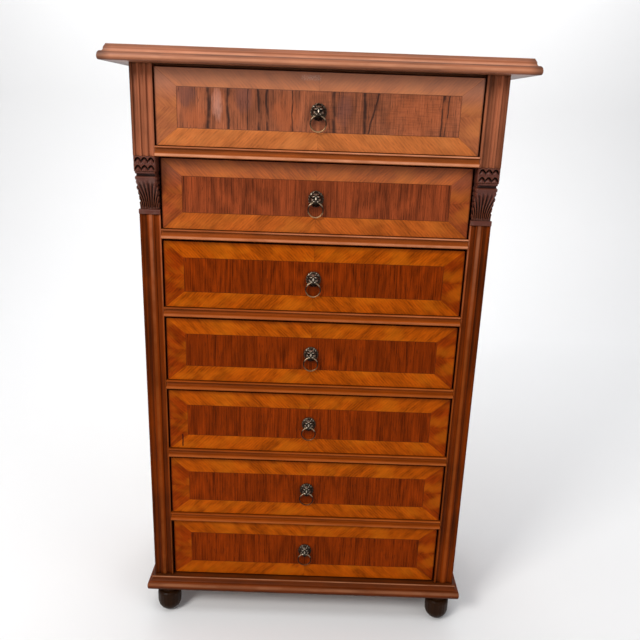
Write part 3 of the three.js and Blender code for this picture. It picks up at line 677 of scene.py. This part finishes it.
def makeBrass(number):
    look = brassLook
    graph = Graph(f"brass_{number}")
    rise = graph.z - frontMiddle(number)
    darkened = clamped((number - look["lastBrightDrawer"]) / (look["darkestDrawer"] - look["lastBrightDrawer"]))
    gain = 1.0 - (1.0 - look["darkGain"]) * darkened
    tarnish = graph.noise(graph.place, **tarnishLook["noise"])
    crests = graph.crests()
    clear = graph.openness(look["reach"]).ramp(*look["clear"])
    color = graph.mix(clear, look["hollow"], tinted(look["face"], gain))
    color = graph.mix(crests.toned(*look["tuftTone"]), color, tinted(look["tuft"], gain))
    color = graph.mix(crests.ramp(*look["raised"]), look["hollow"], color)
    for kind, middleX, middleZ, halfX, halfZ, amount in brassSpots:
        awayX = (abs(graph.x) - mm(middleX)) / mm(halfX)
        awayZ = (rise - mm(middleZ)) / mm(halfZ)
        spot = 1.0 - (awayX * awayX + awayZ * awayZ).ramp(*look["spotEdge"])
        color = graph.mix(spot * amount, color, tinted(look[kind], gain))
    return graph.surface(
        Base_Color=color, Roughness=tarnish * tarnishLook["spread"] + look["roughness"],
        Normal=graph.bump(tarnish, mm(look["bump"])), Metallic=tarnishLook["metallic"],
    )


def makeHoopBrass(number):
    look = hoopLook
    graph = Graph(f"hoop_{number}")
    drop = frontMiddle(number) - graph.z
    tarnish = graph.noise(graph.place, **tarnishLook["noise"])
    darkened = clamped((number - look["bright"]) / (look["darkestDrawer"] - look["bright"]))

    # colours of the painted highlight and shade, darker on the lower drawers
    def wornAndLit(kind):
        return tuple(between(high, low, darkened) for high, low in zip(look[kind], look[kind + "Low"]))

    color = graph.mix(drop.within(*look["flankDrop"]), wornAndLit("foot"), wornAndLit("flank"))
    color = graph.mix(drop.within(*look["arcDrop"]), color, look["arc"])
    color = graph.mix(tarnish.toned(*look["darkTone"]), color, look["dark"])
    roughness = tarnish * tarnishLook["spread"] + look["roughness"]
    return graph.surface(Base_Color=color, Roughness=roughness, Metallic=tarnishLook["metallic"])


# Finishes go on by node name

looks = {
    "rail": (railLook, 1.3), "shaft": (shaftLook, 2.9), "block": (blockLook, 4.1), "top": (topLook, 5.3),
    "base": (baseLook, 6.7), "side": (sideLook, 7.9), "foot": (footLook, 8.3), "pale": (paleLook, 9.1),
    "back": (backLook, 10.7),
}
finishes = {key: makeWood(f"{key}_wood", look, seed) for key, (look, seed) in looks.items()}
finishes["carved"] = makeCarved()
for number in drawers:
    finishes[f"front_{number}"] = makeFront(number)
    finishes[f"mask_{number}"] = makeBrass(number)
    finishes[f"ring_{number}"] = makeHoopBrass(number)
finishOf = {
    "rail": "rail", "top_rail": "rail", "shaft": "shaft", "frieze_block": "block", "top_board": "top",
    "base": "base", "side": "side", "foot": "foot", "back_panel": "back", "bottom_board": "back",
    "corbel": "carved",
}
for name, node in nodes.items():
    if name.startswith("drawer"):
        number, kind = name.split("_")[1:]
        key = f"{kind}_{number}" if f"{kind}_{number}" in finishes else "pale"
    else:
        key = finishOf[max((start for start in finishOf if name.startswith(start)), key=len)]
    node.data.materials.clear()
    node.data.materials.append(finishes[key])
print("finishes made:", len(bpy.data.materials))


# Relief meshes, in millimetres: a grid in front, closed at the rim and behind

sideSteps = 8
reliefAngle = math.radians(50)


def closedGrid(front, back, wraps=False):
    rows, columns = front.shape[:2]
    points = np.concatenate([front.reshape(-1, 3), back.reshape(-1, 3)])
    behind = rows * columns
    faces = []
    for row in range(rows - 1):
        for column in range(columns if wraps else columns - 1):
            a = row * columns + column
            b = row * columns + (column + 1) % columns
            faces.append((a, b, b + columns, a + columns))
            faces.append((behind + a + columns, behind + b + columns, behind + b, behind + a))
    edge = [(rows - 1) * columns + column for column in range(columns)]
    if wraps:
        faces += [(b, a, behind + a, behind + b) for a, b in zip(edge, edge[1:] + edge[:1])]
        return points, faces
    loop = list(range(columns)) + [row * columns + columns - 1 for row in range(1, rows)]
    loop += edge[-2::-1] + [row * columns for row in range(rows - 2, 0, -1)]
    rims = [loop]  # the side walls need rows of vertices, or pointiness goes wrong there
    outer, inner = points[loop], points[[behind + spot for spot in loop]]
    for step in range(1, sideSteps):
        rims.append([len(points) + spot for spot in range(len(loop))])
        points = np.concatenate([points, outer + (inner - outer) * step / sideSteps])
    rims.append([behind + spot for spot in loop])
    for near, far in zip(rims, rims[1:]):
        faces += zip(near[1:] + near[:1], near, far, far[1:] + far[:1])
    return points, faces


def makeMesh(name, points, faces):
    mesh = bpy.data.meshes.new(name)
    mesh.from_pydata([tuple(point) for point in points], [], faces)
    mesh.validate()
    turned = bmesh.new()
    turned.from_mesh(mesh)
    bmesh.ops.recalc_face_normals(turned, faces=turned.faces)
    turned.to_mesh(mesh)
    turned.free()
    return mesh


def makePiece(name, points, faces, material, body, node):
    mesh = makeMesh(name, points / 1000, faces)
    mesh.shade_smooth()
    mesh.set_sharp_from_angle(angle=reliefAngle)
    mesh.materials.append(material)
    piece = addObject(name, mesh)
    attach(piece, body)
    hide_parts(node)


def fullTurn(steps):
    return np.arange(steps) * 2 * math.pi / steps


def smooth(value, low, high):
    share = np.clip((value - low) / (high - low), 0, 1)
    return share * share * (3 - 2 * share)


# Corbel: two rows of scallops on a rolled block, a fanned leaf curling outwards, and a plain band

corbelLook = {
    "columns": 85, "rows": 210, "curveSteps": 60, "leafFoot": 10, "leafTop": 77, "neckTop": 80,
    "blockFoot": 85, "footReach": 2, "tipReach": 24, "neckReach": 18, "blockReach": 28, "bandReach": 4,
    "bandRound": 2, "tipTall": 3, "neckInset": 2.2,
}
# Hollow leaflets fan from the stalk. Pairs are shares of the height, or of half the width.
leafLook = {
    "lobes": 6, "lobePower": 1.2, "lobeRound": 0.6, "footInset": 1.2, "veins": 3.3, "veinDepth": 3.6,
    "veinRound": 1.6, "veinStart": (0.0, 0.12), "veinEnd": (0.72, 0.9), "fanFoot": 0.55, "fanGrowth": 1.2,
    "fanPower": 1.8, "ribHeight": 1.2, "ribHalf": 1.6, "ribEnd": (0.75, 0.95), "edgeDepth": 2.4,
    "edge": (0.86, 1.0), "stalks": 9, "stalkDepth": 1.1, "stalkTop": 0.1,
}
# The block over it has rolled edges and two rows of scallops. Pairs are shares of a row's height.
scallopLook = {
    "count": 3, "depth": 5, "fill": 0.9, "archTop": 0.9, "archBend": 1.7, "floor": (-0.6, -0.1),
    "lip": (-0.08, 0), "margin": (0.86, 0.92), "petalHeight": 0.9, "petalEnd": (0.2, 0.7),
    "rollDepth": 1.5, "roll": (0.9, 1.0),
}


def bezier(step, first, second, third, last):
    back = 1 - step
    inner = 3 * second * step * back ** 2 + 3 * third * step ** 2 * back
    return first * back ** 3 + inner + last * step ** 3


def corbelReach(up):
    look = corbelLook
    foot, tipFoot = look["leafFoot"], look["leafTop"] - look["tipTall"]
    middle = (foot + look["leafTop"]) / 2
    step = np.linspace(0, 1, look["curveSteps"])
    curveUp = bezier(step, foot, middle, middle, tipFoot)
    curveOut = bezier(step, look["footReach"], look["footReach"], look["neckReach"], look["tipReach"])
    reach = np.interp(up, curveUp, curveOut)
    tip = np.clip((up - tipFoot) / look["tipTall"], 0, 1)
    reach = reach - (look["tipReach"] - look["neckReach"]) * tip ** 2
    cave = np.clip((up - look["neckTop"]) / (look["blockFoot"] - look["neckTop"]), 0, 1)
    overhang = (look["blockReach"] - look["neckReach"]) * np.sqrt(1 - (1 - cave) ** 2)
    reach = reach + overhang * (up > look["neckTop"])
    bandEdge = np.clip(np.minimum(up, foot - up) / look["bandRound"], 0, 1)
    band = look["bandReach"] - look["bandRound"] * (1 - bandEdge) ** 2
    return np.where(up <= foot, band, reach)


def carveLeaf(across, share, climb, half):
    look = leafLook
    fan = np.abs(across) / ((look["fanFoot"] + look["fanGrowth"] * climb ** look["fanPower"]) * half)
    ridge = np.abs(np.cos(math.pi * look["veins"] * fan))
    veins = look["veinDepth"] * (1 - ridge ** look["veinRound"])
    veins = veins * smooth(climb, *look["veinStart"]) * (1 - smooth(climb, *look["veinEnd"]))
    rib = look["ribHeight"] * np.exp(-(across / look["ribHalf"]) ** 2)
    rib = rib * (1 - smooth(climb, *look["ribEnd"]))
    edge = look["edgeDepth"] * smooth(np.abs(share), *look["edge"])
    stalk = look["stalkDepth"] * np.sin(math.pi * look["stalks"] * share) ** 2
    return rib - veins - edge - stalk * (climb < look["stalkTop"])


def carveBlock(share, rise):
    look = scallopLook
    row = np.clip(np.floor(rise * 2), 0, 1)
    inRow = rise * 2 - row
    column = (share / look["fill"] + 1) / 2 * look["count"]
    inColumn = column - np.floor(column) - 0.5
    arch = look["archTop"] - look["archBend"] * inColumn ** 2
    scoop = smooth(inRow - arch, *look["floor"]) * (1 - smooth(inRow - arch, *look["lip"]))
    scoop = look["depth"] * scoop * (1 - smooth(np.abs(share), *look["margin"]))
    petal = look["petalHeight"] * np.abs(np.sin(inColumn * math.pi * 2))
    petal = petal * (1 - smooth(inRow, *look["petalEnd"]))
    roll = smooth(np.abs(share), *look["roll"]) + smooth(np.abs(rise * 2 - 1), *look["roll"])
    return -scoop - petal - look["rollDepth"] * roll


def makeCorbel(side):
    look = corbelLook
    node = f"corbel_{side}"
    low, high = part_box(node)
    low, high = low * 1000, high * 1000
    half = (high.x - low.x) / 2
    tall = high.z - low.z
    share = np.linspace(-1, 1, look["columns"])[None, :]
    up = np.linspace(0, tall, look["rows"])[:, None]
    isLeaf = (up > look["leafFoot"]) & (up < look["leafTop"])
    isNeck = (up >= look["leafTop"]) & (up < look["blockFoot"])
    climb = np.clip((up - look["leafFoot"]) / (look["leafTop"] - look["leafFoot"]), 0, 1)
    lobe = np.abs(np.sin(math.pi * leafLook["lobes"] * climb ** leafLook["lobePower"]))
    inset = look["neckInset"] * (1 - lobe ** leafLook["lobeRound"]) + leafLook["footInset"] * (1 - climb)
    width = half - np.where(isLeaf, inset, 0) - np.where(isNeck, look["neckInset"], 0)
    across = share * width
    depth = corbelReach(up) + 0 * across
    depth = np.where(isLeaf, depth + carveLeaf(across, share, climb, half), depth)
    rise = (up - look["blockFoot"]) / (tall - look["blockFoot"])
    depth = np.where(up >= look["blockFoot"], depth + carveBlock(share, rise), depth)
    frontY = low.y + look["blockReach"] - np.minimum(depth, look["blockReach"])
    x = (low.x + high.x) / 2 + across
    z = low.z + up + 0 * across
    points, faces = closedGrid(np.stack([x, frontY, z], 2), np.stack([x, 0 * x + high.y, z], 2))
    makePiece(f"carving_{side}", points, faces, finishes["carved"], "carcass", node)


for side in ("left", "right"):
    makeCorbel(side)
print("corbels carved")


# Ring: a round wire bent to a hoop. Its middle line hangs from the pivot.

ringLook = {"outer": 32.6, "wire": 2.8, "around": 72, "about": 16}
ringBend = (ringLook["outer"] - ringLook["wire"]) / 2


def makeHoop():
    look = ringLook
    wide = look["about"]
    around = fullTurn(look["around"])[:, None]
    about = fullTurn(wide)[None, :]
    radius = ringBend + look["wire"] / 2 * np.cos(about)
    x = radius * np.sin(around)
    z = radius * np.cos(around) - ringBend
    y = look["wire"] / 2 * np.sin(about) + 0 * around
    faces = []
    for i in range(look["around"]):
        k = (i + 1) % look["around"]
        for j in range(wide):
            m = (j + 1) % wide
            faces.append((i * wide + j, i * wide + m, k * wide + m, k * wide + j))
    return np.stack([x, y, z], 2).reshape(-1, 3), faces


# Lion mask: a round face in a tufted mane, with a track for the ring. Pairs are shares of the way to the
# rim, except those of the track.

maskLook = {
    "width": 30.7, "height": 32.6, "rings": 46, "spokes": 128, "hole": 0.02, "tufts": 16, "tuftDepth": 0.06,
    "rim": 1, "maneDepth": 6, "maneFall": (0.45, 1.0), "swirl": 5, "lockHeight": 1.7,
    "lockStart": (0.5, 0.72), "lockFade": (0.9, 1.0), "innerLocks": 11, "innerSwirl": -4,
    "innerHeight": 1.0, "innerStart": (0.42, 0.6), "innerEnd": (0.68, 0.85), "faceHeight": 3.6,
    "faceHalf": (10.2, 12.5), "faceDrop": 0.5, "faceEdge": (0.62, 1.0), "faceStretch": 1.2,
    "muzzleDepth": 13.2, "standoff": 6.6, "pivotDrop": 6, "channel": 3.1, "channelSteps": 32,
    "trackDepth": 4.1, "trackEdge": (2.2, 3.4), "trackStart": (4.6, 6.0),
}
# Bumps and hollows of the face, the same on both sides: middle, half size and height
maskFeatures = (
    (4.4, 5.4, 3.0, 1.5, 1.9), (4.3, 2.6, 2.0, 1.5, -2.6), (4.3, 2.5, 1.1, 0.9, 1.5),
    (3.5, -4.6, 2.9, 2.6, 2.4), (6.6, -1.0, 2.4, 3.4, 1.3), (9.6, 9.6, 2.2, 2.4, 2.4),
    (9.4, 9.4, 1.0, 1.2, -1.7), (1.5, -3.2, 0.7, 0.7, -1.3), (0, 1.0, 1.7, 5.2, 2.4),
    (0, -2.6, 2.6, 1.6, 2.6), (0, 8.6, 2.4, 2.6, 1.4), (0, -8.0, 5.4, 4.4, 3.6),
    (0, -7.3, 3.8, 0.7, -1.8), (0, -10.6, 3.4, 2.0, 1.6),
)


def maskDepths(x, z, share, angle):
    look = maskLook
    fall = 1 - smooth(share, *look["maneFall"])
    depth = look["rim"] + (look["maneDepth"] - look["rim"]) * fall + 0 * x
    locks = 0.5 + 0.5 * np.sin(angle * look["tufts"] + look["swirl"] * share)
    locks = locks * smooth(share, *look["lockStart"]) * (1 - 0.5 * smooth(share, *look["lockFade"]))
    inner = 0.5 + 0.5 * np.sin(angle * look["innerLocks"] + look["innerSwirl"] * share + 1)
    inner = inner * smooth(share, *look["innerStart"]) * (1 - smooth(share, *look["innerEnd"]))
    depth += look["lockHeight"] * locks + look["innerHeight"] * inner
    halfX, halfZ = look["faceHalf"]
    fromFace = np.hypot(x / halfX, (z + look["faceDrop"]) / halfZ)
    depth += look["faceHeight"] * (1 - smooth(fromFace, *look["faceEdge"]))
    for middleX, middleZ, halfX, halfZ, height in maskFeatures:
        for side in (-1, 1) if middleX else (1,):
            awayX = (x / look["faceStretch"] - side * middleX) / halfX
            depth += height * np.exp(-(awayX ** 2 + ((z - middleZ) / halfZ) ** 2))
    beside = np.abs(np.hypot(x, z + look["pivotDrop"] + ringBend) - ringBend)
    track = (1 - smooth(beside, *look["trackEdge"])) * smooth(np.abs(x), *look["trackStart"])
    depth = depth - track * np.maximum(depth - look["trackDepth"], 0)
    return np.clip(depth, look["rim"], look["muzzleDepth"])


def cutChannel(points, faces):
    look = maskLook
    blank = addObject("mask_blank", makeMesh("mask_blank", points, faces))
    steps = look["channelSteps"]
    angles = fullTurn(steps)
    circle = np.stack([
        np.zeros(steps), look["channel"] * np.cos(angles) - look["standoff"],
        look["channel"] * np.sin(angles) - look["pivotDrop"],
    ], 1)
    ends = [circle + np.array([side * look["width"], 0, 0]) for side in (-1, 1)]
    walls = [(i, (i + 1) % steps, steps + (i + 1) % steps, steps + i) for i in range(steps)]
    caps = [tuple(range(steps - 1, -1, -1)), tuple(range(steps, 2 * steps))]
    cutter = addObject("channel", makeMesh("channel", np.concatenate(ends), walls + caps))
    cut = blank.modifiers.new("cut", "BOOLEAN")
    cut.operation = "DIFFERENCE"
    cut.object = cutter
    cut.solver = "EXACT"
    bpy.context.view_layer.update()
    solid = blank.evaluated_get(bpy.context.evaluated_depsgraph_get()).to_mesh()
    points = np.array([vertex.co for vertex in solid.vertices])
    faces = [tuple(face.vertices) for face in solid.polygons]
    bpy.data.objects.remove(blank)
    bpy.data.objects.remove(cutter)
    return points, faces


def makeMask():
    look = maskLook
    spokes = look["spokes"]
    share = np.linspace(look["hole"], 1, look["rings"])[:, None]
    angle = fullTurn(spokes)[None, :]
    tuft = 1 - look["tuftDepth"] * (0.5 - 0.5 * np.cos(angle * look["tufts"])) * share
    x = look["width"] / 2 * share * tuft * np.cos(angle)
    z = look["height"] / 2 * share * tuft * np.sin(angle)
    depth = maskDepths(x, z, share, angle)
    points, faces = closedGrid(np.stack([x, -depth, z], 2), np.stack([x, 0 * depth, z], 2), wraps=True)
    behind = look["rings"] * spokes
    faces.append(tuple(range(spokes - 1, -1, -1)))
    faces.append(tuple(behind + index for index in range(spokes)))
    return cutChannel(points, faces)


maskPoints, maskFaces = makeMask()
hoopPoints, hoopFaces = makeHoop()
for number in drawers:
    mask, hoop = f"drawer_{number}_mask", f"drawer_{number}_ring"
    low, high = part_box(f"drawer_{number}_front")
    face = np.array([0, low.y * 1000, (low.z + high.z) * 500])
    hung = hoopPoints + face + np.array([0, -maskLook["standoff"], -maskLook["pivotDrop"]])
    brass = finishes[f"mask_{number}"]
    makePiece(f"lion_{number}", maskPoints + face, maskFaces, brass, f"drawer_{number}", mask)
    brass = finishes[f"ring_{number}"]
    makePiece(f"hoop_{number}", hung, hoopFaces, brass, f"ring_{number}", hoop)
print("pulls cast: mask of", len(maskFaces), "faces")


# Edges: welded, then eased, so that they catch the light

easing = {
    "drawer_front": 0.5, "top_board": 0.6, "top_rail": 0.3, "side": 0.8, "base": 0.5, "rail": 0.3,
    "drawer_box": 0.6, "shaft": 0.4, "frieze_block": 0.4,
}
edgeLook = {"weld": 0.02, "segments": 2, "angle": math.radians(38)}


def ease(node, width):
    weld = node.modifiers.new("weld", "WELD")
    weld.merge_threshold = mm(edgeLook["weld"])
    bevel = node.modifiers.new("ease", "BEVEL")
    bevel.width = mm(width)
    bevel.segments = edgeLook["segments"]
    bevel.limit_method = "ANGLE"
    bevel.angle_limit = edgeLook["angle"]
    bevel.harden_normals = False


for name, node in nodes.items():
    kind = "drawer_" + name.split("_")[2] if name.startswith("drawer") else name
    keys = [key for key in easing if kind.startswith(key)]
    if keys:
        ease(node, easing[max(keys, key=len)])
print("edges eased")


# Studio, in metres: a pale floor that sweeps up behind, and soft light from the upper left

stageLook = {
    "color": (0.86, 0.86, 0.86), "halfWidth": 6.0, "front": -4.0, "back": 3.2, "height": 4.5,
    "round": 1.2, "steps": 14, "driftScale": 0.6, "drift": 0.98, "roughness": 0.8, "specular": 0.1,
}


def makeStage():
    look = stageLook
    bend, steps = look["round"], look["steps"]
    line = [(look["front"], 0.0), (look["back"] - bend, 0.0)]
    for step in range(1, steps + 1):
        angle = math.pi / 2 * step / steps
        line.append((look["back"] - bend + bend * math.sin(angle), bend - bend * math.cos(angle)))
    line.append((look["back"], look["height"]))
    points = [(side * look["halfWidth"], y, z) for y, z in line for side in (-1, 1)]
    faces = [(i, i + 1, i + 3, i + 2) for i in range(0, len(points) - 2, 2)]
    mesh = bpy.data.meshes.new("sweep")
    mesh.from_pydata(points, [], faces)
    mesh.shade_smooth()
    sweep = addObject("sweep", mesh)
    graph = Graph("sweep_paint")
    drift = graph.noise(graph.place, scale=look["driftScale"], detail=1.0)
    paint = graph.mix(drift, look["color"], tinted(look["color"], look["drift"]))
    rough, shine = look["roughness"], look["specular"]
    paper = graph.surface(Base_Color=paint, Roughness=rough, Specular_IOR_Level=shine)
    mesh.materials.append(paper)


# Each light: place, what it is aimed at, size, watts, and colour if it isn't white
lights = {
    "key": ((-1.9, -2.4, 2.6), (0, -0.1, 0.65), (1.1, 1.1), 84, (1.0, 0.98, 0.95)),
    "fill": ((2.4, -2.2, 1.6), (0, -0.1, 0.6), (1.8, 1.8), 12),
    "over": ((0, -0.4, 3.4), (0, 0.1, 1.2), (2.6, 2.0), 30),
    "behind": ((0, 2.4, 3.2), (0, 3.2, 1.0), (4.0, 1.5), 60),
}
worldLook = {"Color": (0.93, 0.95, 1.0, 1), "Strength": 0.4}


def makeLight(name, place, target, size, power, color=(1, 1, 1)):
    lamp = bpy.data.lights.new(name, "AREA")
    lamp.shape = "RECTANGLE"
    lamp.size, lamp.size_y = size
    lamp.energy = power
    lamp.color = color
    holder = addObject(name, lamp)
    holder.location = place
    holder.rotation_euler = (Vector(target) - Vector(place)).to_track_quat("-Z", "Y").to_euler()


makeStage()
for name, setting in lights.items():
    makeLight(name, *setting)
world = bpy.data.worlds.new("studio")
world.use_nodes = True
for key, value in worldLook.items():
    world.node_tree.nodes["Background"].inputs[key].default_value = value
bpy.context.scene.world = world
bpy.context.scene.view_settings.view_transform = "Standard"
print("stage and lights set")


# Camera, as fitted to the photo, its place in millimetres

cameraFit = {
    "place": (12.5, -1485.6, 1158.0), "lens": 38.15, "sensor": 36, "nearest": 0.02,
    "right": (0.99939, 0.007654, 0.034157), "up": (-0.03489, 0.29680, 0.95431),
    "back": (-0.00283, -0.95492, 0.29688),
}


def makeCamera():
    fit = cameraFit
    lens = bpy.data.cameras.new("camera")
    lens.lens = fit["lens"]
    lens.sensor_width = fit["sensor"]
    lens.clip_start = fit["nearest"]
    camera = addObject("camera", lens)
    turn = Matrix((fit["right"], fit["up"], fit["back"])).transposed().to_4x4()
    turn.translation = Vector([mm(value) for value in fit["place"]])
    camera.matrix_world = turn
    bpy.context.scene.camera = camera


makeCamera()
print("camera set")
